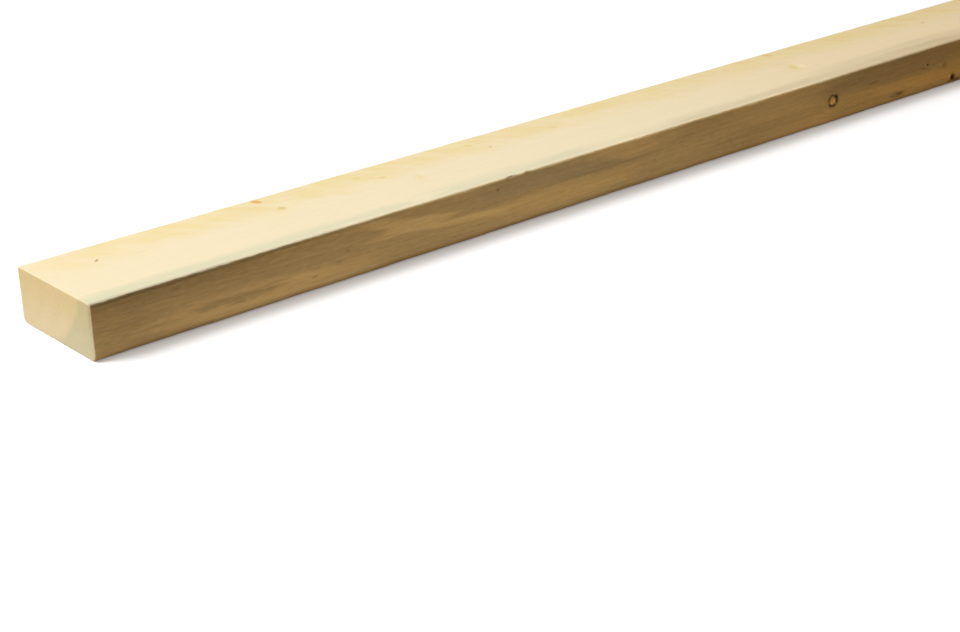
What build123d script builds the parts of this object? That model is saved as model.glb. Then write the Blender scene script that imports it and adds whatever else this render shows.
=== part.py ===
"""A dressed softwood plank of nominal two by four stock, lying on a wide face.

Millimetres. The origin is at the bottom centre of the plank, +X runs along the grain, +Y across the
width and +Z up, so the plank rests on the plane Z = 0. The end at -X is the one that faces the viewer
and the narrow face at -Y is the one beside it.
"""

import os

from build123d import *

# Stock size after planing, and the length that the stock is sold in
LENGTH = 2438.0
WIDTH = 89.0
THICKNESS = 38.0

# Radius of the four long arrises, which the planer's corner cutters ease.
# The two arrises of the lower wide face are rounder than the two of the upper one.
UPPER_EASE = 2.0
LOWER_EASE = 4.5

# The saw leaves the end faces square, and handling rubs this much off their outline
END_WEAR = 0.5

# The section is drawn in the end plane, with its local X across the width and its local Y up.
# It stands on local Y = 0, so the wide face that the plank rests on is at Z = 0.
with BuildPart() as plank:
    with BuildSketch(Plane.YZ.offset(-LENGTH / 2)) as section:
        with Locations((0, THICKNESS / 2)):
            Rectangle(WIDTH, THICKNESS)
        fillet(section.vertices().group_by(Axis.Y)[0], radius=LOWER_EASE)
        fillet(section.vertices().group_by(Axis.Y)[-1], radius=UPPER_EASE)
    extrude(amount=LENGTH)

    # The outline of each sawn end loses its sharp edge
    end_faces = plank.faces().sort_by(Axis.X)
    chamfer(end_faces[0].edges() + end_faces[-1].edges(), length=END_WEAR)

plank.part.label = "plank"

os.makedirs("parts", exist_ok=True)
export_step(plank.part, "parts/plank.step")
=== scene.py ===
"""A softwood plank with growth rings, knots and sap stain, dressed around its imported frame.

The plank lies along X with its near end at -X, its upper wide face at +Z and its front narrow face
at -Y. Blender's lengths are metres. The wood is worked out in millimetres, as places on the plank:
along is measured from the near end, across from the back arris and down from the upper face.
"""

import math
from collections import namedtuple
from functools import reduce
from types import SimpleNamespace

import bpy
import numpy as np
from bpy.props import FloatProperty, FloatVectorProperty, PointerProperty
from mathutils import Matrix, Vector


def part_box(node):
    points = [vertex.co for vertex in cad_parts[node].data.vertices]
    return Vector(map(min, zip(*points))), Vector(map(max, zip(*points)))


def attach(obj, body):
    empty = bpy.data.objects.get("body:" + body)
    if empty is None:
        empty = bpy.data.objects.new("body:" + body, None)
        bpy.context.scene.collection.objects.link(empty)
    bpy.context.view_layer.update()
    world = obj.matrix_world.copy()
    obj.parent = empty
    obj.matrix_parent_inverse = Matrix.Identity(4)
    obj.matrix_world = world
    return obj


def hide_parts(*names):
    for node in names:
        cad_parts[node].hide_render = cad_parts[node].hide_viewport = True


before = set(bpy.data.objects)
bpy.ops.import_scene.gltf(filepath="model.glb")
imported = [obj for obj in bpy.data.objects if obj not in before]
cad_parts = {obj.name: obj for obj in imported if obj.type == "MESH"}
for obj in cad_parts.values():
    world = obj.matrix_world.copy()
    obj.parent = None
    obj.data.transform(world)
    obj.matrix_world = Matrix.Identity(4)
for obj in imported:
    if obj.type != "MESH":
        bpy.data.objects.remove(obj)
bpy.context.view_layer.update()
LOW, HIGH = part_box("plank")

bl_info = {
    "name": "Softwood Plank",
    "version": (1, 0, 0),
    "blender": (4, 5, 0),
    "location": "View3D > Sidebar > Plank",
    "description": "Makes a dressed softwood plank and a plain stage for it",
    "category": "Add Mesh",
}

MM = 0.001

# Length, width and thickness of the plank in millimetres, from its frame
LENGTH, WIDTH, THICKNESS = ((high - low) / MM for low, high in zip(LOW, HIGH))


# The tree that the plank was sawn from

# Fibres leaning into a branch draw its knot out along the grain by the inverse of this
KNOT_SQUEEZE = (0.8, 1.0, 1.0)

# The heart of the tree, across and down from the plank's corner. It runs just above the upper face
# and climbs away from it along the plank, so the rings come out of that face one after another.
PITH_ACROSS = 22.0
PITH_DOWN = -12.0
PITH_CLIMB = 0.0062
PITH_SWAY = 3.5
PITH_SWAY_LENGTH = 560.0

# A branch cut by the plank's surface. Its heart shows at along, across, down, where it has the radius
# girth. tone is its colour, from golden at 0 to black at 1, depth is how strongly it shows, and bark how
# dark its rim is. It runs straight from the pith, rise further along, and shows from begin to end,
# measured from there. A branch with a drop runs from that height over its heart instead.
Branch = namedtuple("Branch", "along across down girth tone depth bark begin end rise drop",
                    defaults=(0.0, 2.0, 40.0, 4.0, 9.0))

# The small ones that show on the upper face, close to the pith
UPPER_BRANCHES = (
    Branch(41, 27, 0, 0.9, 0.68, 0.75, rise=5, drop=2.2),
    Branch(137, 18, 0, 4.5, 0.0, 0.25),
    Branch(175.5, 8, 0, 2.5, 0.2, 1.0),
    Branch(180.5, 29.5, 0, 3.0, 0.07, 0.7),
    Branch(228, 11, 0, 4.0, 0.0, 0.2),
    Branch(253, 16.5, 0, 2.6, 0.03, 0.6),
    Branch(268, 27, 0, 2.8, 0.05, 0.5),
    Branch(287, 44, 0, 1.8, 0.05, 0.15),
    Branch(356, 16, 0, 2.8, 0.02, 0.7),
    Branch(366, 28, 0, 1.2, 0.45, 0.5),
    Branch(430, 26, 0, 3.0, 0.1, 0.3),
    Branch(459, 13, 0, 3.4, 0.0, 0.5),
    Branch(632, 13, 0, 2.4, 0.08, 0.5),
    Branch(689, 8, 0, 2.7, 0.14, 0.6),
    Branch(677, 44, 0, 2.8, 0.0, 1.0, rise=11),
    Branch(840, 7, 0, 2.8, 0.0, 0.5),
    Branch(877, 6, 0, 2.8, 0.0, 0.45),
    Branch(862, 32, 0, 1.7, 0.4, 0.45),
)

# The larger ones, which run on through the plank
THROUGH_BRANCHES = (
    Branch(675.6, 89, 19.4, 4.3, 0.21, 0.85, 0.85, 50, 120, -6, 0),
    Branch(796.5, 89, 13.8, 1.8, 0.85, 0.9, 0.0, 55, 120, -6, 0),
    Branch(832.0, 89, 31.8, 2.7, 1.0, 1.0, 0.6, 55, 120, -9, 0),
    Branch(1132, 34, 38, 6.6, 0.4, 0.7, 0.4, 1, 120, -10, 0),
    Branch(1148, 71, 0, 4.0, 0.35, 0.7, 0.5, 1, 120, -10, 0),
    Branch(1475, 0, 20, 4.8, 0.4, 0.7, 0.7, 1, 120, -9, 0),
    Branch(1493, 60, 38, 6.0, 0.35, 0.7, 0.4, 1, 120, -9, 0),
    Branch(1826, 58, 0, 4.4, 0.4, 0.7, 0.4, 1, 120, -9, 0),
    Branch(1840, 12, 38, 5.2, 0.4, 0.7, 0.7, 1, 120, -9, 0),
    Branch(2204, 89, 14, 4.6, 0.3, 0.7, 0.8, 1, 120, -8, 0),
    Branch(2216, 14, 0, 3.2, 0.25, 0.6, 0.3, 1, 60, -6, 0),
)
BRANCHES = UPPER_BRANCHES + THROUGH_BRANCHES

# A patch of colour: an egg of these half lengths round a heart. tan is how much darker it is than the
# wood around it, stain how much more sap stain it has, and it drops by fall for each millimetre along.
Patch = namedtuple("Patch", "along across down half_along half_across half_down tan stain fall",
                   defaults=(0.0, 0.0))

# Broad ones with torn outlines
PATCHES = (
    # Along the front face and its upper arris
    Patch(-5, 90, 15, 60, 6, 22, 0.45),
    Patch(35, 90, 8, 110, 5, 15, 0.35),
    Patch(95, 90, 2, 140, 4, 8, 0.7, -0.2),
    Patch(98, 90, 25.5, 38, 8, 4.5, 1.45, 0.1),
    Patch(248, 90, 13, 70, 8, 6.5, -1.25, -0.15, 0.15),
    Patch(125, 90, 29, 95, 8, 10, -0.95, -0.2, 0.03),
    Patch(355, 90, 9, 80, 6, 8, -0.25, 0.5, 0.02),
    Patch(370, 90, 25, 90, 8, 8, -0.5, -0.4),
    Patch(450, 90, 6, 50, 6, 8, -0.55, -0.2, 0.02),
    Patch(425, 90, 15, 50, 8, 2.6, 0.2, 0.4, 0.02),
    Patch(585, 90, 27, 60, 8, 10, 0.2, 0.3),
    Patch(620, 90, 8, 70, 6, 12, -0.7, 0.35),
    Patch(640, 90, 33, 60, 8, 7, -0.5, -0.2),
    Patch(768, 90, 4, 120, 5, 18, 0.3, 1, -0.02),
    Patch(770, 90, 24, 85, 8, 4.5, -0.15, -0.5, 0.06),
    Patch(1080, 88, 20, 150, 12, 12, -0.4, -0.6, 0.02),
    Patch(1390, 90, 6, 170, 12, 10, 0.5, 0.6, 0.02),
    Patch(1700, 86, 26, 190, 12, 9, -0.6, -0.6, -0.02),
    Patch(2080, 88, 8, 210, 12, 11, 0.5, 0.5, 0.02),
    # In the stained band of the upper face, which is paler along the arris, partly rubbed and partly a
    # painted highlight
    Patch(430, 89, 0, 520, 4, 2.5, -0.05, -0.6),
    Patch(255, 80, 0, 16, 9, 5, 0, -0.8),
    Patch(370, 70, 0, 34, 8, 5, 0, 0.6),
    Patch(455, 80, 0, 55, 10, 5, 0, -0.5),
    Patch(780, 71, 0, 130, 11, 5, 0.45, 0.2),
)

# Small marks, which also lie over the knots: specks and smears on the front face, the light and dark
# of its two knots, the light on the ring knot's core partly a painted highlight, and the light and dark
# of two knots of the upper face, the light there a painted highlight
MARKS = (
    Patch(320, 89, 7, 1.8, 3, 1.2, 1.6),
    Patch(163, 89, 27.3, 3, 3, 0.8, 1),
    Patch(190, 89, 17, 2.8, 3, 0.8, 0.8),
    Patch(182, 89, 22.3, 2.4, 3, 0.8, 0.8),
    # The ring knot's pale core, partly a painted highlight
    Patch(673.6, 89, 21, 1.5, 3, 1.4, -3.4),
    Patch(677, 89, 19.6, 1, 3, 2, -2.2),
    Patch(678.8, 89, 16.2, 2.6, 3, 2.2, 2.4),
    Patch(680.6, 89, 18.6, 1.8, 3, 3, 1.8),
    Patch(672, 89, 23.4, 2.2, 3, 1.2, 1.6),
    Patch(726, 89, 14.6, 8, 3, 0.9, 1.2, 0, 0.04),
    Patch(758, 89, 31, 11, 3, 2.8, 1.2),
    Patch(761, 89, 31, 5, 3, 1.6, 1),
    Patch(791.5, 89, 16, 4, 3, 1.2, 0.9, 0, 0.3),
    Patch(820, 89, 18.5, 3.5, 3, 4.2, 1),
    Patch(838, 89, 34.6, 5, 3, 2, 2.2),
    Patch(828.4, 89, 34.2, 2.4, 3, 1.8, 1.5),
    Patch(827.5, 89, 29.6, 2.4, 3, 1.5, -1.3),
    Patch(180.5, 29.5, 0, 2, 2.6, 3, 0.35),
    # A painted highlight beside the golden knot of the upper face
    Patch(684, 47.5, 0, 4, 5, 3, -0.35),
)

# What one unit of a patch's tan takes off the lightness of the wood
TAN_DEPTH = 0.24

# The share of summer wood over the course of a year
SUMMER_SHARE = ((0.0, 0.12), (0.10, 0.0), (0.52, 0.10), (0.80, 0.62), (0.92, 1.0), (1.0, 0.12))

# How far the tan of the front face, partly its own colour and partly painted shade, reaches round its
# arrises
FRONT_RIM = 1.15

# Distance between two knife marks of the planer and between two marks of the saw, which are arcs
# about the middle of its blade
KNIFE_PITCH = 2.4
SAW_PITCH = 2.8
BLADE_Y, BLADE_Z = 60.0, -180.0

# Dry wood has next to no gloss, so it doesn't mirror the white floor
SPECULAR_LEVEL = 0.03

# What the colour of the wood is multiplied by further along, partly as painted shade where the lamp's
# light falls off, in a dent, partly as painted shade in its hollow, and on an end, low and high
FURTHER_TINT_AND_SHADE = (0.945, 0.883, 0.80)
# A dent's tint is partly its torn fibres and partly painted shade in its hollow
BRUISE_AND_SHADE_TINT = (0.50, 0.40, 0.30)
END_TINT_LOW = (0.955, 0.960, 0.930)
END_TINT_HIGH = (0.910, 0.865, 0.720)

# Colours of the pores of an end and of the torn fibres round it, partly a painted highlight, and of a knot
# by its tone
END_SPECK = (0.50, 0.36, 0.18)
TORN_FIBRE_AND_HIGHLIGHT = (0.86, 0.72, 0.52)
KNOT_TINTS = (
    (0.0, (0.84, 0.67, 0.29)),
    (0.1, (0.76, 0.54, 0.20)),
    (0.2, (0.82, 0.44, 0.15)),
    (0.45, (0.52, 0.29, 0.11)),
    (0.7, (0.24, 0.125, 0.035)),
    (1.0, (0.06, 0.026, 0.003)),
)


# The shape of the plank's surface

# Slow waves of the faces and the wear of the arrises, each as a length and a depth
FACE_WAVES = ((610.0, 0.05), (260.0, 0.03))
ARRIS_WAVES = ((97.0, 0.10), (41.0, 0.07), (17.0, 0.05))

# The branches that break the front face, and the depth of the groove round a dead one
FRONT_BRANCHES = [branch for branch in BRANCHES if branch.across > 80]
KNOT_GROOVE = 0.35

# Half the depth to which the saw has hollowed the middle of an end
END_HOLLOW = 0.10

# A dent in a long arris: its place along, half length and depth
Dent = namedtuple("Dent", "along half depth")

UPPER_FRONT_DENTS = (
    Dent(333, 5.0, 0.9),
    Dent(348, 2.5, 0.4),
    Dent(1010, 6.0, 0.6),
    Dent(1702, 4.0, 0.5),
)


def on_plank(along, across, down):
    """A place on the plank as coordinates of its frame, in millimetres."""
    return along - LENGTH / 2, WIDTH / 2 - across, THICKNESS - down


# Settings that a user may change


def as_length(name, description, default, least):
    """A length as a setting, from its default and its least value in millimetres."""
    return FloatProperty(name=name, description=description, default=default * MM, min=least * MM,
                         unit="LENGTH", subtype="DISTANCE", precision=4)


def as_colour(name, description, default):
    """A colour as a setting."""
    return FloatVectorProperty(name=name, description=description, default=default,
                               subtype="COLOR", size=3, min=0.0, max=1.0)


def as_angle(name, description, degrees):
    """An angle as a setting, from a default in degrees."""
    return FloatProperty(name=name, description=description, default=math.radians(degrees),
                         unit="ROTATION", subtype="ANGLE")


class PlankSettings(bpy.types.PropertyGroup):
    """Sizes of the plank's edges and mesh, and colours of its wood"""

    upper_ease: as_length("Upper Ease", "Radius of the two upper long arrises", 2.0, 0.5)
    lower_ease: as_length("Lower Ease", "Radius of the two lower long arrises", 4.5, 0.5)
    end_wear: as_length("End Wear", "How much the outline of each sawn end is rubbed off", 0.5, 0.1)
    pitch: as_length("Mesh Pitch", "Distance between two sections of the mesh on plain wood", 4.4, 1.0)
    ring_width: as_length("Ring Width", "Usual width of a year's growth", 2.3, 0.5)
    sapwood_radius: as_length("Sapwood Radius", "Distance from the pith to the stained sapwood", 53.5, 10)
    spring_wood: as_colour("Spring Wood", "Pale wood that grows early in the year", (0.895, 0.770, 0.525))
    summer_wood: as_colour("Summer Wood", "Darker wood that ends each year's ring", (0.790, 0.600, 0.340))
    heart_wood: as_colour("Heart Wood", "Golden wood near the pith", (0.860, 0.690, 0.340))
    sap_stain: as_colour("Sap Stain", "What the stain multiplies the colour by", (0.765, 0.865, 0.875))
    far_stain: as_colour("Far Stain", "The same further along, where it is greyer", (0.745, 0.715, 0.68))
    edge_stain: as_colour("Edge Stain", "The same on the narrow front face", (0.80, 0.84, 0.95))
    # The front face's tint is partly the tan of the wood and partly painted shade, because that face lies in
    # shade; deeper further along
    edge_tan_and_shade: as_colour("Edge Tan", "What the weather multiplied the same face by", (0.92, 0.735, 0.445))
    far_edge_tan_and_shade: as_colour("Far Edge Tan", "The same further along the plank", (0.78, 0.53, 0.215))
    knot_bark: as_colour("Knot Bark", "Dark bark round a dead knot", (0.095, 0.030, 0.003))


class StageSettings(bpy.types.PropertyGroup):
    """The floor, the lamp, the sky and the camera"""

    floor_seen: FloatProperty(name="Floor Seen", description="Grey of the floor as the camera sees it",
                              default=0.90, min=0.0, max=1.0, subtype="FACTOR")
    floor_glow: FloatProperty(name="Floor Glow", description="Light that the floor seems to give off",
                              default=0.22, min=0.0, max=1.0, subtype="FACTOR")
    floor_bounce: as_colour("Floor Bounce", "Colour of its light on the plank", (0.40, 0.30, 0.18))
    sky: FloatProperty(name="Sky", description="Strength of the light from all sides",
                       default=0.40, min=0.0)
    key_power: FloatProperty(name="Key Power", description="Power of the large lamp above the near end",
                             default=145.0, min=0.0, unit="POWER")
    lens: FloatProperty(name="Lens", description="Focal length on a sensor 36 mm wide",
                        default=73.04, min=10.0, unit="CAMERA")
    azimuth: as_angle("Azimuth", "Turn of the view about the vertical, 0 looking along +Y", -39.95)
    elevation: as_angle("Elevation", "Height of the view above the horizon", 22.89)
    roll: as_angle("Roll", "Tilt of the camera about its own line of sight", -1.63)
    place: FloatVectorProperty(
        name="Camera Place", description="Where the camera stands",
        size=3, default=(-1.7267, -1.0096, 0.4739), unit="LENGTH", subtype="TRANSLATION")


# Nodes


class Graph:
    """A material's or group's nodes. A call adds nodes and returns the output that is used next.

    The renderer works the nodes out in the order in which they are added, but leaves whatever waits for
    a change of type, as from numbers to a colour, for its next round. So that few values wait at a time,
    nodes are added in the order of their use, and the groups, which are used often, hold only numbers.
    """

    def __init__(self, tree):
        self.tree = tree

    def add(self, kind, inputs=None, output=0, **settings):
        node = self.tree.nodes.new("ShaderNode" + kind)
        for name, value in settings.items():
            setattr(node, name, value)
        for key, value in (inputs or {}).items():
            if isinstance(value, bpy.types.NodeSocket):
                self.tree.links.new(value, node.inputs[key])
            else:
                node.inputs[key].default_value = value
        return node.outputs[output]

    def math(self, operation, *terms):
        return self.add("Math", dict(enumerate(terms)), operation=operation)

    def total(self, *values):
        return reduce(lambda one, other: self.math("ADD", one, other), values)

    def product(self, *values):
        return reduce(lambda one, other: self.math("MULTIPLY", one, other), values)

    def less(self, one, other):
        return self.math("SUBTRACT", one, other)

    def line(self, value, slope, start):
        """A value times a slope, from a start."""
        return self.math("MULTIPLY_ADD", value, slope, start)

    def dot(self, ones, others):
        """The sum of the products of two rows of numbers."""
        result = 0.0
        for one, other in zip(ones, others):
            result = self.line(one, other, result)
        return result

    def length(self, *sides):
        """The length of the diagonal of a box with these sides."""
        return self.math("SQRT", self.dot(sides, sides))

    def mapped(self, point, scale):
        """A point with each of its coordinates multiplied by its own scale."""
        return self.add("Mapping", {"Vector": point, "Scale": scale}, vector_type="POINT")

    def combine(self, x, y, z):
        return self.add("CombineXYZ", {"X": x, "Y": y, "Z": z})

    def split(self, vector):
        return self.add("SeparateXYZ", {0: vector}).node.outputs[:3]

    def moved(self, place, way, distance):
        """Coordinates moved along a way by a distance in lengths of the way."""
        return [self.line(distance, step, at) for at, step in zip(place, way)]

    def step(self, value, start, end, low=0.0, high=1.0):
        """Goes smoothly from low to high as value goes from start to end."""
        terms = {"Value": value, "From Min": start, "From Max": end, "To Min": low, "To Max": high}
        return self.add("MapRange", terms, interpolation_type="SMOOTHSTEP")

    def noise(self, vector, scale=1.0, detail=2.0, roughness=0.5):
        """Noise about 0, mostly within -0.5 and 0.5."""
        terms = {"Vector": vector, "Scale": scale, "Detail": detail, "Roughness": roughness}
        return self.less(self.add("TexNoise", terms), 0.5)

    def tints(self, factor, stops):
        """A ramp through (position, colour) stops."""
        ramp = self.add("ValToRGB", {0: factor})
        elements = ramp.node.color_ramp.elements
        while len(elements) < len(stops):
            elements.new(1.0)
        for element, (position, tint) in zip(elements, stops):
            element.position = position
            element.color = (*tint, 1.0)
        return ramp

    def curve(self, value, stops):
        """Straight runs through (position, value) stops."""
        curve = self.add("FloatCurve", {"Value": value})
        points = curve.node.mapping.curves[0].points
        for position, height in stops[1:-1]:
            points.new(position, height)
        for point, stop in zip(points, stops):
            point.location = stop
            point.handle_type = "VECTOR"
        curve.node.mapping.update()
        return curve

    def mix(self, factor, one, other, blend="MIX", clamp=True):
        one, other = (value if isinstance(value, bpy.types.NodeSocket) else (*value, 1.0)
                      for value in (one, other))
        terms = {0: factor, 6: one, 7: other}
        return self.add("Mix", terms, 2, data_type="RGBA", blend_type=blend, clamp_factor=clamp)

    def times(self, colour, other):
        """One colour multiplied by another."""
        return self.mix(1.0, colour, other, "MULTIPLY")

    def lit(self, colour, factor):
        """A colour multiplied by a number, which may be over 1."""
        return self.mix(factor, (0.0, 0.0, 0.0), colour, clamp=False)

    def bell(self, value, width):
        """1 at 0, falling away on both sides over the width."""
        share = self.math("DIVIDE", value, width)
        return self.math("EXPONENT", self.product(share, share, -1.0))

    def show(self, shader):
        """Makes the shader the look of the material's surface."""
        self.tree.links.new(shader, self.tree.nodes.new("ShaderNodeOutputMaterial").inputs["Surface"])


def new_material(name):
    """A material without nodes, and its graph."""
    material = bpy.data.materials.new(name)
    material.use_nodes = True
    material.node_tree.nodes.clear()
    return material, Graph(material.node_tree)


def coordinates(name, values):
    """Three numbers under a name and its axis, as a group's inputs."""
    return {f"{name} {axis}": value for axis, value in zip("XYZ", values)}


def new_group(name, places, numbers, running):
    """A node group and its graph, inputs and outputs. The running numbers are both inputs and outputs."""
    tree = bpy.data.node_groups.new(name, "ShaderNodeTree")
    places = [axis for place in places for axis in coordinates(place, "XYZ")]
    for socket in (*places, *numbers, *running):
        tree.interface.new_socket(socket, in_out="INPUT", socket_type="NodeSocketFloat")
    for socket in running:
        tree.interface.new_socket(socket, in_out="OUTPUT", socket_type="NodeSocketFloat")
    given = tree.nodes.new("NodeGroupInput").outputs
    gives = tree.nodes.new("NodeGroupOutput").inputs
    return tree, Graph(tree), given, gives


def run_through(graph, group, each, running):
    """Adds the group once for each of the given inputs, and carries the running numbers through them."""
    for terms in each:
        made = graph.add("Group", {**terms, **running}, node_tree=group).node.outputs
        running = {name: made[name] for name in running}
    return running


def branch_group():
    """A group that works out at a place how far it is inside one branch.

    Root is where the branch leaves the pith, Way its direction and Flare its radius for each
    millimetre of its length. It adds to the running Knot, Darkness and Rim, which are the strength
    and tone of the knot and of its bark, to Swell, by how much the growth rings are lifted, and to
    Nearest, the distance from the middle line of the nearest branch in radii of it.
    """
    tree, graph, given, gives = new_group(
        "branch", ("Place", "Root", "Way"), ("Flare", "Begin", "End", "Depth", "Tone", "Bark"),
        ("Knot", "Darkness", "Rim", "Swell", "Nearest"))
    offset = [graph.less(given["Place " + axis], given["Root " + axis]) for axis in "XYZ"]
    length = graph.dot(offset, [given["Way " + axis] for axis in "XYZ"])
    off_line = graph.less(graph.dot(offset, offset), graph.product(length, length))
    distance = graph.math("SQRT", graph.math("MAXIMUM", off_line, 0.0))
    radius = graph.math("MAXIMUM", graph.product(length, given["Flare"]), 0.25)
    girths = graph.math("DIVIDE", distance, radius)
    begun = graph.step(graph.less(length, given["Begin"]), 0.0, 4.0)
    ended = graph.step(graph.less(length, given["End"]), -4.0, 1.0, 1.0, 0.0)
    alive = graph.product(begun, ended)
    inside = graph.product(graph.step(girths, 0.5, 1.2, 1.0, 0.0), alive)
    rim = graph.bell(graph.less(girths, 0.86), 0.28)
    dead = graph.product(graph.step(length, 28.0, 42.0), alive)
    swell = graph.product(radius, graph.bell(girths, 1.8), alive)
    faded = graph.line(graph.less(1.0, alive), 50.0, girths)

    for name, operation, value in (
        ("Knot", "MAXIMUM", graph.product(inside, given["Depth"])),
        ("Darkness", "MAXIMUM", graph.product(inside, given["Tone"])),
        ("Rim", "MAXIMUM", graph.product(rim, dead, given["Bark"])),
        ("Swell", "ADD", swell),
        ("Nearest", "MINIMUM", faded),
    ):
        tree.links.new(graph.math(operation, given[name], value), gives[name])
    return tree


def add_branches(graph, place):
    """Adds every branch and returns the running numbers of their group."""
    squeezed = [graph.product(at, squeeze) for at, squeeze in zip(place, KNOT_SQUEEZE)]
    each = []
    for branch in BRANCHES:
        heart = Vector(on_plank(branch.along, branch.across, branch.down))
        _, pith_y, pith_z = on_plank(branch.along, *pith_at(branch.along))
        if branch.drop:
            pith_z = heart.z + branch.drop
        root = Vector((heart.x + branch.rise, pith_y, pith_z)) * Vector(KNOT_SQUEEZE)
        run = heart * Vector(KNOT_SQUEEZE) - root
        each.append({**coordinates("Place", squeezed), **coordinates("Root", root),
                     **coordinates("Way", run.normalized()), "Flare": branch.girth / run.length,
                     "Begin": branch.begin, "End": branch.end,
                     "Depth": branch.depth, "Tone": branch.tone, "Bark": branch.bark})
    running = {"Knot": 0.0, "Darkness": 0.0, "Rim": 0.0, "Swell": 0.0, "Nearest": 60.0}
    return run_through(graph, branch_group(), each, running)


def patch_group():
    """A group that adds one egg of colour, with a soft edge, to the running Stained and Tanned."""
    tree, graph, given, gives = new_group(
        "patch", ("Place", "Middle", "Half"), ("Fall", "Stain", "Tan"), ("Stained", "Tanned"))
    x, y, z = (graph.less(given["Place " + axis], given["Middle " + axis]) for axis in "XYZ")
    level = graph.line(x, given["Fall"], z)
    reach = graph.length(*(graph.math("DIVIDE", side, given["Half " + axis])
                           for side, axis in zip((x, y, level), "XYZ")))
    shape = graph.step(reach, 0.45, 1.25, 1.0, 0.0)
    for name, strength in (("Stained", "Stain"), ("Tanned", "Tan")):
        tree.links.new(graph.line(shape, given[strength], given[name]), gives[name])
    return tree


def add_patches(graph, place, patches):
    """Adds the patches and returns the running numbers of their group."""
    each = [{**coordinates("Place", place),
             **coordinates("Middle", on_plank(patch.along, patch.across, patch.down)),
             **coordinates("Half", (patch.half_along, patch.half_across, patch.half_down)),
             "Fall": patch.fall, "Stain": patch.stain, "Tan": patch.tan} for patch in patches]
    return run_through(graph, patch_group(), each, {"Stained": 0.0, "Tanned": 0.0})


def pith_at(along):
    """How far across and down the pith lies at a place along the plank."""
    sway = PITH_SWAY * math.sin(along / PITH_SWAY_LENGTH)
    return PITH_ACROSS + sway, PITH_DOWN - PITH_CLIMB * along


def set_out(graph):
    """The places and noises that the parts of the wood read, and the marks that the mesh carries."""
    true_place = graph.mapped(graph.add("TexCoord", output=3), (1.0 / MM,) * 3)

    def noise(lengthwise, crosswise, detail, roughness=0.5):
        return graph.noise(graph.mapped(true_place, (lengthwise, crosswise, crosswise)),
                           detail=detail, roughness=roughness)

    at = SimpleNamespace(
        true_place=true_place,
        shiver=graph.noise(true_place, scale=0.16, detail=1.0),
        slow=noise(0.0032, 0.035, 1.0),
        ripple=noise(0.012, 0.16, 2.0),
        tear=noise(0.016, 0.16, 3.0),
        drift=noise(0.011, 0.06, 4.0, 0.62),
        speckle=noise(0.5, 2.6, 2.0, 0.7),
        grit=noise(0.16, 0.65, 3.0, 0.68),
    )
    at.true_x, at.true_y, at.true_z = graph.split(true_place)
    at.place = graph.moved((at.true_x, at.true_y, at.true_z), (1.0, 1.2, -1.0),
                           graph.line(at.grit, 0.9, at.shiver))
    at.x, at.y, at.z = at.place
    at.along = graph.total(at.x, LENGTH / 2)
    at.cut, at.rub, at.bruise = (graph.add("Attribute", output=2, attribute_name=name)
                                 for name in ("end_grain", "rub", "bruise"))
    return at


def front_face(graph, at):
    """1 on the front face, up to a ragged line on its upper arris and round the lower one, 0 elsewhere."""
    ragged = graph.line(at.shiver, 0.9, WIDTH / 2 - FRONT_RIM)
    front_from = graph.less(ragged, graph.step(at.true_z, 4.0, 12.0, 2.6, 0.0))
    front = graph.step(graph.less(graph.product(at.true_y, -1.0), front_from), 0.0, 0.4)
    return graph.product(front, graph.less(1.0, at.cut))


def around_pith(graph, at, swell):
    """The distance from the pith, lifted round each branch and bent by slow noise, and the way round it."""
    sway = graph.product(graph.math("SINE", graph.math("DIVIDE", at.along, PITH_SWAY_LENGTH)), PITH_SWAY)
    pith_y = graph.less(WIDTH / 2 - PITH_ACROSS, sway)
    pith_z = graph.line(at.along, PITH_CLIMB, THICKNESS - PITH_DOWN)
    from_y = graph.less(at.y, pith_y)
    from_z = graph.less(at.z, pith_z)
    spread = graph.length(from_y, from_z)
    bend = graph.line(at.slow, 7.0, graph.product(at.ripple, 1.3))
    radius = graph.less(graph.total(spread, bend), graph.product(swell, 1.5))
    turn = graph.product(graph.math("ARCTAN2", from_y, graph.product(from_z, -1.0)), 45.0)
    return radius, turn


def growth_rings(graph, radius, ring_width):
    """How much summer wood there is, and the tone of the year."""
    unevenness = graph.noise(graph.combine(graph.product(radius, 0.16), 0.0, 0.0), detail=2.0)
    years = graph.line(unevenness, 2.6, graph.math("DIVIDE", radius, ring_width))
    summer = graph.curve(graph.math("FRACT", years), SUMMER_SHARE)
    return summer, graph.noise(graph.combine(graph.math("FLOOR", years), 7.0, 3.0), detail=0.0)


def fibres(graph, at):
    """Fine, broad and short fibres, as noise drawn out along the grain that follows the rings."""
    follow = graph.combine(graph.product(at.x, 0.04), at.radius, at.turn)
    fine = graph.noise(follow, scale=1.9, detail=3.0, roughness=0.62)
    broad = graph.noise(graph.mapped(follow, (0.30, 0.34, 0.22)), detail=2.0)
    short = graph.noise(graph.mapped(follow, (1.8, 0.85, 0.85)), detail=2.0)
    return fine, broad, short


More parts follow.
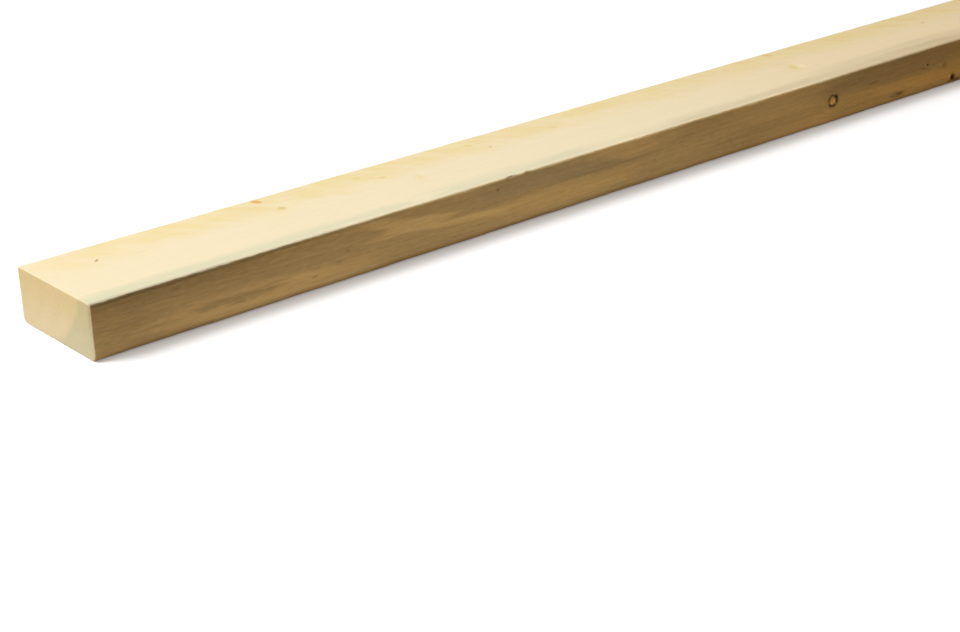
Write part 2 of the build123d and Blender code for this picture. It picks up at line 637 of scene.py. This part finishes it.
def clear_wood(graph, at, settings):
    """Clear wood, golden and mottled along the upper back arris and round knots, deeper further along,
    partly as painted shade where the lamp's light falls off.
    """
    depth = graph.line(at.front, 0.20, 0.18)
    grain = graph.product(at.summer, depth)
    grain = graph.mix(grain, settings.spring_wood, settings.summer_wood)
    mottle_place = graph.combine(graph.line(at.x, 0.027, graph.product(at.y, -0.022)),
                                 graph.line(at.x, 0.077, graph.product(at.y, 0.092)),
                                 graph.product(at.z, 0.09))
    mottle = graph.noise(mottle_place, detail=3.0, roughness=0.58)
    from_arris = graph.length(graph.less(at.y, WIDTH / 2 - 7.0), graph.line(at.z, 0.7, -0.7 * THICKNESS))
    gilded = graph.step(graph.line(mottle, -30.0, from_arris), 4.0, 38.0, 1.0, 0.0)
    gilded = graph.product(gilded, graph.step(mottle, -0.20, 0.24, 0.35, 1.0))
    gilded = graph.product(gilded, graph.step(at.along, 0.0, 45.0, 0.3, 1.0))
    gilded = graph.math("MAXIMUM", gilded, graph.product(graph.bell(at.nearest, 1.7), 0.45))
    wood = graph.mix(gilded, grain, settings.heart_wood)
    # Deeper and warmer further along: partly the wood's tone, partly painted shade where the lamp's light
    # falls off
    at.further = graph.product(graph.step(at.along, 320.0, 1000.0),
                               graph.step(at.along, 1100.0, 2200.0, 1.0, 0.5))
    return graph.mix(at.further, wood, graph.times(wood, FURTHER_TINT_AND_SHADE))


def streaked(graph, at, wood):
    """The wood with its patches, fibres and grit, and the torn fibres of its dents darkened, partly as
    painted shade in their hollows.
    """
    torn_place = graph.moved(at.place, (90.0, 6.0, 8.0), at.tear)
    at.stain_patch, tanned = add_patches(graph, torn_place, PATCHES).values()
    rough = graph.line(at.front, 0.7, 0.20)
    dashes = graph.step(at.short, 0.14, 0.34)
    streaks = graph.total(
        1.0,
        graph.product(at.fibre, 0.30, rough),
        graph.product(at.broad, 0.22, rough),
        graph.product(at.short, graph.line(at.front, 0.26, 0.03)),
        graph.product(at.grit, graph.line(at.front, 0.24, 0.06)),
        graph.product(dashes, graph.line(at.front, -0.24, -0.05)),
        graph.product(at.year_tone, 0.05),
        graph.product(tanned, graph.total(at.drift, 1.0), -TAN_DEPTH),
    )
    wood = graph.lit(wood, streaks)
    # Dents darkened: torn fibres and painted shade in their hollows
    return graph.mix(graph.product(at.bruise, 0.8), wood, graph.times(wood, BRUISE_AND_SHADE_TINT))


def stained(graph, at, settings, wood):
    """The wood with sap stain beyond a radius, of another tint further along and on the front face."""
    outwards = graph.total(at.radius, graph.product(at.drift, 10.0), graph.product(at.ripple, 3.0))
    outwards = graph.less(outwards, settings.sapwood_radius / MM)
    blur = graph.line(at.cut, -2.5, 5.0)
    sap = graph.step(graph.math("DIVIDE", outwards, blur), -0.9, 1.1)
    level = graph.total(graph.line(at.drift, 0.9, 0.55), at.stain_patch)
    stain = graph.product(sap, graph.step(level, -0.4, 1.6, 0.15, 1.6))
    stain = graph.product(stain, graph.line(at.front, 0.25, 0.75))
    greyed = graph.step(at.along, 300.0, 640.0)
    tint = graph.mix(greyed, settings.sap_stain, settings.far_stain)
    tint = graph.mix(at.front, tint, settings.edge_stain)
    return graph.mix(stain, wood, graph.times(wood, tint), clamp=False)


def weathered_and_shaded(graph, at, settings, wood):
    """The wood tanned on its front face and darkened there with painted shade, paler towards its lower arris
    and darker along its upper one.
    """
    # Painted shade as well as tan: the front face gets a browner, darker colour because it lies in shade
    weather_and_shade = graph.mix(at.further, settings.edge_tan_and_shade, settings.far_edge_tan_and_shade)
    # Darker along the upper front arris, most near the near end
    upper_arris_darkening = graph.product(graph.step(at.true_z, THICKNESS - 3.4, THICKNESS - 1.4),
                          graph.step(at.along, 130.0, 300.0, 0.42, 0.12))
    shade = graph.less(graph.step(at.true_z, 2.0, THICKNESS, 1.13, 0.92), upper_arris_darkening)
    return graph.mix(at.front, wood, graph.lit(graph.times(wood, weather_and_shade), shade))


def sawn(graph, at, wood):
    """The wood browner on its ends, where cut fibres drink in the light, with pale torn ones round them,
    partly a painted highlight.
    """
    tint = graph.mix(graph.step(at.true_z, 5.0, THICKNESS - 1.0), END_TINT_LOW, END_TINT_HIGH)
    end = graph.times(wood, tint)
    end = graph.mix(graph.step(at.speckle, 0.05, 0.40, 0.0, 0.16), end, END_SPECK)
    wood = graph.mix(at.cut, wood, end)
    # A pale rim round each end: torn fibres with a painted highlight
    return graph.mix(graph.product(at.rub, 0.45), wood, TORN_FIBRE_AND_HIGHLIGHT)


def knotted(graph, at, settings, wood):
    """The wood with its knots and their bark, and small marks over all of it."""
    knot_rings = graph.math("SINE", graph.line(at.fibre, 5.0, graph.product(at.nearest, 14.0)))
    darkness = graph.total(at.knot_tone, graph.product(knot_rings, at.knot, 0.05))
    wood = graph.mix(at.knot, wood, graph.tints(darkness, KNOT_TINTS))
    bark = graph.product(at.bark, graph.line(at.grit, 2.2, 0.9))
    wood = graph.mix(bark, wood, settings.knot_bark)
    marks = add_patches(graph, at.place, MARKS)
    return graph.lit(wood, graph.line(marks["Tanned"], -TAN_DEPTH, 1.0))


def roughness(graph, at):
    """Rougher on the sawn ends, and smoother on summer wood and knots."""
    return graph.total(
        0.60,
        graph.product(at.cut, 0.22),
        graph.product(at.summer, -0.07),
        graph.product(at.fibre, 0.16),
        graph.product(at.knot, -0.12),
    )


def fine_relief(graph, at):
    """Torn fibres and the planer's knife marks on the faces, and the saw's marks on the ends."""
    torn = graph.noise(graph.mapped(at.true_place, (0.06, 1.7, 1.7)), detail=3.0, roughness=0.6)
    knives = graph.math("SINE", graph.product(at.true_x, 2.0 * math.pi / KNIFE_PITCH))
    planed = graph.line(torn, 0.12, graph.product(knives, 0.003))
    from_blade = graph.length(graph.less(at.true_y, BLADE_Y), graph.less(at.true_z, BLADE_Z))
    saw = graph.math("SINE", graph.product(from_blade, 2.0 * math.pi / SAW_PITCH))
    cut = graph.line(at.speckle, 0.10, graph.product(saw, 0.012))
    height = graph.line(at.cut, graph.less(cut, planed), planed)
    return graph.add("Bump", {"Height": height, "Strength": 1.0, "Distance": MM})


def softwood(settings):
    """The wood as a solid, worked out at each place from the pith, the branches and the stain.

    The distance from the pith counts the growth rings, and fibres flow along them and round the knots.
    What several parts of the wood read stands in one namespace, at, and each part changes the colour
    that it is given.
    """
    material, graph = new_material("softwood")
    at = set_out(graph)
    at.front = front_face(graph, at)
    at.knot, at.knot_tone, at.bark, swell, at.nearest = add_branches(graph, at.place).values()
    at.radius, at.turn = around_pith(graph, at, swell)
    at.summer, at.year_tone = growth_rings(graph, at.radius, settings.ring_width / MM)
    at.fibre, at.broad, at.short = fibres(graph, at)

    wood = clear_wood(graph, at, settings)
    wood = streaked(graph, at, wood)
    wood = stained(graph, at, settings, wood)
    wood = weathered_and_shaded(graph, at, settings, wood)
    wood = sawn(graph, at, wood)
    wood = knotted(graph, at, settings, wood)

    graph.show(graph.add("BsdfPrincipled", {
        "Base Color": wood, "Roughness": roughness(graph, at), "Normal": fine_relief(graph, at),
        "Specular IOR Level": SPECULAR_LEVEL}))
    return material


# Mesh of the plank


def spread_between(stops, pitches):
    """Numbers from the first stop to the last, evenly spaced between two stops at no more than the pitch."""
    runs = []
    for start, end, pitch in zip(stops[:-1], stops[1:], pitches):
        count = max(1, math.ceil(abs(end - start) / pitch - 1e-6))
        runs.append(np.linspace(start, end, count + 1)[:-1])
    return np.concatenate(runs + [np.array([stops[-1]])])


def section(upper, lower):
    """The plank's section as points, outward normals, spine points and how round it is there.

    It runs once round, anticlockwise seen from +X: each flat as a straight run with a close point at
    both ends, so that the shading stays flat on it, and each arris as a quarter circle of its radius.
    A point's spine point is the nearest one on the line midway between the two wide faces.
    """
    y_lower, y_upper, z_upper = WIDTH / 2 - lower, WIDTH / 2 - upper, THICKNESS - upper
    half_spine = (WIDTH - THICKNESS) / 2
    near = 0.35
    wide_pitches = (near, 3.0, 3.4, 3.0, near)
    half_base = np.array([half_spine, y_lower - near, y_lower])
    half_top = np.array([half_spine, y_upper - near, y_upper])
    base = spread_between(np.concatenate([-half_base[::-1], half_base]), wide_pitches)
    top = -spread_between(np.concatenate([-half_top[::-1], half_top]), wide_pitches)
    stops = (lower, lower + near, z_upper - near, z_upper)
    back = spread_between(stops, (near, 3.2, near))
    front = spread_between(stops[::-1], (near, 1.5, near))
    turn = np.linspace(0.0, math.pi / 2, 8)[1:-1]

    parts = []

    def flat(y, z, normal):
        parts.append(np.stack(np.broadcast_arrays(y, z, *normal, 0.0), 1))

    def arris(y, z, radius, start):
        angle = start + turn
        parts.append(np.stack([y + radius * np.cos(angle), z + radius * np.sin(angle),
                               np.cos(angle), np.sin(angle), np.sin(2 * turn)], 1))

    flat(base, 0.0, (0, -1))
    arris(y_lower, lower, lower, -math.pi / 2)
    flat(WIDTH / 2, back, (1, 0))
    arris(y_upper, z_upper, upper, 0.0)
    flat(top, THICKNESS, (0, 1))
    arris(-y_upper, z_upper, upper, math.pi / 2)
    flat(-WIDTH / 2, front, (-1, 0))
    arris(-y_lower, lower, lower, math.pi)

    rows = np.concatenate(parts)
    points, normals, roundness = rows[:, :2], rows[:, 2:4], rows[:, 4]
    spine = np.stack([points[:, 0].clip(-half_spine, half_spine), np.full(len(points), THICKNESS / 2)], 1)
    return points, normals, spine, roundness


def stations(settings):
    """Where the sections stand along the plank: closer at its ends, its dents and its front knots."""
    wear = settings.end_wear / MM
    pitch = settings.pitch / MM
    fine = [(dent.along - 1.5 * dent.half, dent.along + 1.5 * dent.half, 1.0) for dent in UPPER_FRONT_DENTS]
    fine += [(knot.along - 1.6 * knot.girth, knot.along + 1.6 * knot.girth, 0.9) for knot in FRONT_BRANCHES]
    stops, pitches = [wear, wear + 0.4, wear + 2.0], [0.4, 0.8, pitch]
    for start, end, step in sorted(fine):
        start = max(start, stops[-1] + 0.1)
        if end > start:
            stops += [start, end]
            pitches += [step, pitch]
    stops += [LENGTH - wear - 2.0, LENGTH - wear - 0.4, LENGTH - wear]
    pitches += [0.8, 0.4]
    return spread_between(stops, pitches)


def relief(along, points, normals, roundness):
    """How far the surface lies inside the plain section, in millimetres, never below 0.

    The sum of slow waves of the faces, wear of the arrises in waves of several lengths, each dent as a
    bell along its arris, and a groove round the rim of each dead knot of the front face.
    """
    rng = np.random.default_rng(11)
    at = along[None, :]
    inset = np.zeros((len(points), len(along)))
    for length, depth in FACE_WAVES:
        phase = rng.uniform(0, 2 * math.pi, 2)
        inset += depth * (1 + np.sin(at * 2 * math.pi / length + phase[0]
                                     + points[:, :1] * 0.02 + phase[1] * normals[:, 1:]))
    upper = points[:, 1] > THICKNESS / 2
    own_phase = 9.0 * np.sign(points[:, :1]) + 4.0 * upper[:, None]
    for length, depth in ARRIS_WAVES:
        phase = rng.uniform(0, 2 * math.pi)
        wear = 1 + np.sin(at * 2 * math.pi / length + phase + own_phase)
        inset += depth * roundness[:, None] * wear
    upper_front = roundness * (points[:, 0] < 0) * upper
    for dent in UPPER_FRONT_DENTS:
        bell = np.cos(np.clip((at - dent.along) / dent.half, -1, 1) * math.pi / 2) ** 2
        inset += dent.depth * bell * upper_front[:, None]
    for branch in FRONT_BRANCHES:
        if branch.bark > 0.5:
            away = np.hypot(at - branch.along, THICKNESS - points[:, 1:] - branch.down) / branch.girth
            groove = np.exp(-((away - 0.98) / 0.22) ** 2) * (normals[:, :1] < -0.5)
            inset += KNOT_GROOVE * groove
    return inset


def bruises(along, points, roundness):
    """1 where a dent has torn the fibres of the upper front arris and painted shade darkens its hollow, and
    0 on whole wood.
    """
    upper_front = (roundness > 0.3) & (points[:, 0] < 0) & (points[:, 1] > THICKNESS / 2)
    bruise = np.zeros((len(points), len(along)))
    for dent in UPPER_FRONT_DENTS:
        bell = np.clip(1.3 - abs(along[None, :] - dent.along) / dent.half, 0, 1)
        bruise = np.maximum(bruise, bell * upper_front[:, None])
    return bruise


def plank_mesh(settings):
    """The plank's whole surface as one closed grid: section points by sections along it.

    The sections run from the near end's spine outwards over the sawn face, along the plank, and back
    in over the far face to its spine. A point is its spine point plus its share of the way out to the
    section, less its relief along the normal. The spine's doubled points are joined into one.
    """
    points, normals, spine, roundness = section(settings.upper_ease / MM, settings.lower_ease / MM)
    body = stations(settings)
    wear = settings.end_wear / MM
    shares = np.array([0.0, 0.10, 0.22, 0.34, 0.46, 0.58, 0.70, 0.80, 0.88, 0.94, 0.98, 1.0])
    caps = len(shares)

    along = np.concatenate([np.zeros(caps), body, np.full(caps, LENGTH)])
    share = np.concatenate([shares, np.ones(len(body)), shares[::-1]])
    inset = relief(along, points, normals, roundness)
    inset[:, :caps] = inset[:, -caps:] = wear
    ragged = 0.5 * wear * np.random.default_rng(5).uniform(0, 1, (len(points), 2))
    inset[:, :caps] += ragged[:, :1]
    inset[:, -caps:] += ragged[:, 1:]

    out = points[:, None, :] - normals[:, None, :] * inset[:, :, None]
    place = spine[:, None, :] + share[None, :, None] * (out - spine[:, None, :])
    across, up = place[..., 0], place[..., 1]
    x = np.broadcast_to(along, across.shape).copy()
    hollow = END_HOLLOW * (1 - share[None, :]) * (1 + np.sin(across * 0.31 + up * 0.17))
    x[:, :caps] += hollow[:, :caps]
    x[:, -caps:] -= hollow[:, -caps:]
    vertices = np.stack([x - LENGTH / 2, across, up], -1) * MM

    # Two triangles for each cell of the grid
    rows, columns = across.shape
    index = np.arange(rows * columns).reshape(rows, columns)
    a, d = index[:, :-1], index[:, 1:]
    b, c = np.roll(a, -1, axis=0), np.roll(d, -1, axis=0)
    triangles = np.concatenate([np.stack(corners, -1).reshape(-1, 3) for corners in ((a, b, c), (a, c, d))])

    # Spread map: each corner's way round the section and along the plank
    chart = bake_chart(points, along, share, place)
    corner_chart = np.concatenate([
        chart[:, :, corners].reshape(-1, 3, 2) for corners in ((0, 1, 2), (0, 2, 3))])

    # Corners that fell together on the spine become one, and cells that lost a side go
    flat_vertices = vertices.reshape(-1, 3)
    keys = np.round(flat_vertices / (MM * 1e-4)).astype(np.int64)
    _, first, joined = np.unique(keys, axis=0, return_index=True, return_inverse=True)
    joined = joined.reshape(-1)
    triangles = joined[triangles]
    whole = (triangles != np.roll(triangles, 1, axis=1)).all(1)

    # What the wood reads from the mesh
    on_end, on_rim = np.zeros((2, rows, columns))
    on_end[:, :caps] = on_end[:, -caps:] = 1.0
    on_rim[:, [caps - 1, -caps]] = 1.0
    marks = {"end_grain": on_end, "rub": on_rim, "bruise": bruises(along, points, roundness)}
    marks = {name: mark.reshape(-1)[first].astype(np.float32) for name, mark in marks.items()}
    return flat_vertices[first], triangles[whole], corner_chart[whole], marks


def bake_chart(points, along, share, place):
    """Each cell's four corners on the unit square: rows, columns, corner, (u, v).

    The long faces are unrolled and laid in three lanes side by side, and the two ends, drawn larger,
    stand above them.
    """
    lanes, lane_top, gap = 3, 0.90, 0.006
    steps = np.linalg.norm(np.diff(np.vstack([points, points[:1]]), axis=0), axis=1)
    round_section = np.concatenate([[0.0], np.cumsum(steps)]) / steps.sum()
    columns = len(along)
    cells = (len(points), columns - 1)
    lower, upper = round_section[:-1, None], round_section[1:, None]
    start, end = along[None, :-1], along[None, 1:]
    lane = np.minimum((start + end) / 2 / LENGTH * lanes, lanes - 1e-6).astype(int)
    u_low, u_high = (np.broadcast_to((lane + gap + way * (1 - 2 * gap)) / lanes, cells)
                     for way in (lower, upper))
    v_start, v_end = (np.broadcast_to(gap + (at / LENGTH * lanes - lane) * (lane_top - 2 * gap), cells)
                      for at in (start, end))
    corners = ((u_low, v_start), (u_high, v_start), (u_high, v_end), (u_low, v_end))
    chart = np.stack([np.stack(corner, -1) for corner in corners], 2)

    # The sawn faces, seen flat on
    scale = (1 - lane_top - 2 * gap) / THICKNESS
    flat_u = (place[..., 0] + WIDTH / 2) * scale * 1.6
    flat_v = lane_top + gap + place[..., 1] * scale
    far = np.arange(columns) > columns // 2
    flat_u = flat_u + np.where(far, 0.5, gap)
    flat = np.stack([flat_u, flat_v], -1)
    after = np.roll(flat, -1, axis=0)
    ends = np.stack([flat[:, :-1], after[:, :-1], after[:, 1:], flat[:, 1:]], 2)
    is_end = (share[:-1] < 1) | (share[1:] < 1)
    return np.where(is_end[None, :, None, None], ends, chart)


def new_object(name, data):
    """An object in the scene."""
    thing = bpy.data.objects.new(name, data)
    bpy.context.scene.collection.objects.link(thing)
    return thing


def mesh_object(name, vertices, triangles):
    """A smooth mesh object at the origin."""
    mesh = bpy.data.meshes.new(name)
    mesh.from_pydata(vertices, [], triangles)
    mesh.update()
    mesh.polygons.foreach_set("use_smooth", np.ones(len(triangles), bool))
    return new_object(name, mesh)


class PLANK_OT_board(bpy.types.Operator):
    """Makes the plank and gives it its wood"""

    bl_idname = "plank.board"
    bl_label = "Make Board"

    def execute(self, context):
        settings = context.scene.plank
        vertices, triangles, chart, marks = plank_mesh(settings)
        board = mesh_object("board", vertices, triangles)
        layer = board.data.uv_layers.new(name="OFBake", do_init=False)
        layer.uv.foreach_set("vector", chart.reshape(-1).astype(np.float32))
        for name, values in marks.items():
            attribute = board.data.attributes.new(name, "FLOAT", "POINT")
            attribute.data.foreach_set("value", values)
        board.data.materials.append(softwood(settings))
        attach(board, "root")
        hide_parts("plank")
        return {"FINISHED"}


# Stage

# Half the side of the floor, and where the lamp hangs, what it faces and the side of its square
FLOOR_REACH = 30.0
KEY_PLACE = (-3.3, 1.05, 3.2)
KEY_TARGET = (-0.8, 0.0, 0.0)
KEY_SIZE = 1.6


def floor_material(settings):
    """A plain floor, which the camera sees paler than the plank is lit by it."""
    material, graph = new_material("floor")
    path = graph.tree.nodes.new("ShaderNodeLightPath").outputs
    seen = graph.math("MAXIMUM", path["Is Camera Ray"], path["Is Glossy Ray"])
    seen = graph.math("MAXIMUM", seen, path["Is Transmission Ray"])
    tint = graph.mix(seen, settings.floor_bounce, (settings.floor_seen,) * 3)
    diffuse = graph.add("BsdfDiffuse", {"Color": tint})
    glow = graph.add("Emission", {"Strength": graph.product(seen, settings.floor_glow)})
    graph.show(graph.add("AddShader", {0: diffuse, 1: glow}))
    return material


def add_key(power):
    """A square soft lamp that faces the near end."""
    lamp = bpy.data.lights.new("key", "AREA")
    lamp.size = KEY_SIZE
    lamp.energy = power
    thing = new_object("key", lamp)
    thing.location = KEY_PLACE
    thing.rotation_euler = (Vector(KEY_TARGET) - Vector(KEY_PLACE)).to_track_quat("-Z", "Y").to_euler()


def add_camera(settings):
    """A camera that looks down at the near end, as in the photo."""
    camera = bpy.data.cameras.new("camera")
    camera.lens = settings.lens
    camera.sensor_width = 36.0
    camera.clip_start, camera.clip_end = 0.01, 100.0
    back = Vector((math.sin(settings.azimuth) * math.cos(settings.elevation),
                   -math.cos(settings.azimuth) * math.cos(settings.elevation),
                   math.sin(settings.elevation)))
    level = (-back).to_track_quat("-Z", "Y").to_matrix().to_4x4()
    thing = new_object("camera", camera)
    thing.matrix_world = Matrix.Translation(settings.place) @ level @ Matrix.Rotation(settings.roll, 4, "Z")
    bpy.context.scene.camera = thing


class PLANK_OT_stage(bpy.types.Operator):
    """Makes the floor, the lamp, the sky and the camera"""

    bl_idname = "plank.stage"
    bl_label = "Make Stage"

    def execute(self, context):
        scene = context.scene
        settings = scene.plank_stage
        corners = FLOOR_REACH * np.array([[-1, -1, 0], [1, -1, 0], [1, 1, 0], [-1, 1, 0]])
        floor = mesh_object("floor", corners, np.array([[0, 1, 2], [0, 2, 3]]))
        floor.data.materials.append(floor_material(settings))

        add_key(settings.key_power)

        world = bpy.data.worlds.new("sky")
        world.use_nodes = True
        background = world.node_tree.nodes["Background"].inputs
        background["Color"].default_value = (1.0, 1.0, 1.0, 1.0)
        background["Strength"].default_value = settings.sky
        scene.world = world
        scene.view_settings.view_transform = "Standard"
        add_camera(settings)
        return {"FINISHED"}


class PLANK_PT_sidebar(bpy.types.Panel):
    """The plank's settings and the buttons that make it"""

    bl_label = "Softwood Plank"
    bl_idname = "PLANK_PT_sidebar"
    bl_space_type = "VIEW_3D"
    bl_region_type = "UI"
    bl_category = "Plank"

    def draw(self, context):
        for settings in (context.scene.plank, context.scene.plank_stage):
            column = self.layout.column(align=True)
            for name in settings.__annotations__:
                column.prop(settings, name)
        self.layout.operator(PLANK_OT_board.bl_idname)
        self.layout.operator(PLANK_OT_stage.bl_idname)


CLASSES = (PlankSettings, StageSettings, PLANK_OT_board, PLANK_OT_stage, PLANK_PT_sidebar)


def register():
    for cls in CLASSES:
        bpy.utils.register_class(cls)
    bpy.types.Scene.plank = PointerProperty(type=PlankSettings)
    bpy.types.Scene.plank_stage = PointerProperty(type=StageSettings)


def unregister():
    del bpy.types.Scene.plank_stage
    del bpy.types.Scene.plank
    for cls in reversed(CLASSES):
        bpy.utils.unregister_class(cls)


def main():
    register()
    bpy.ops.plank.board()
    bpy.ops.plank.stage()


if __name__ == "__main__":
    main()
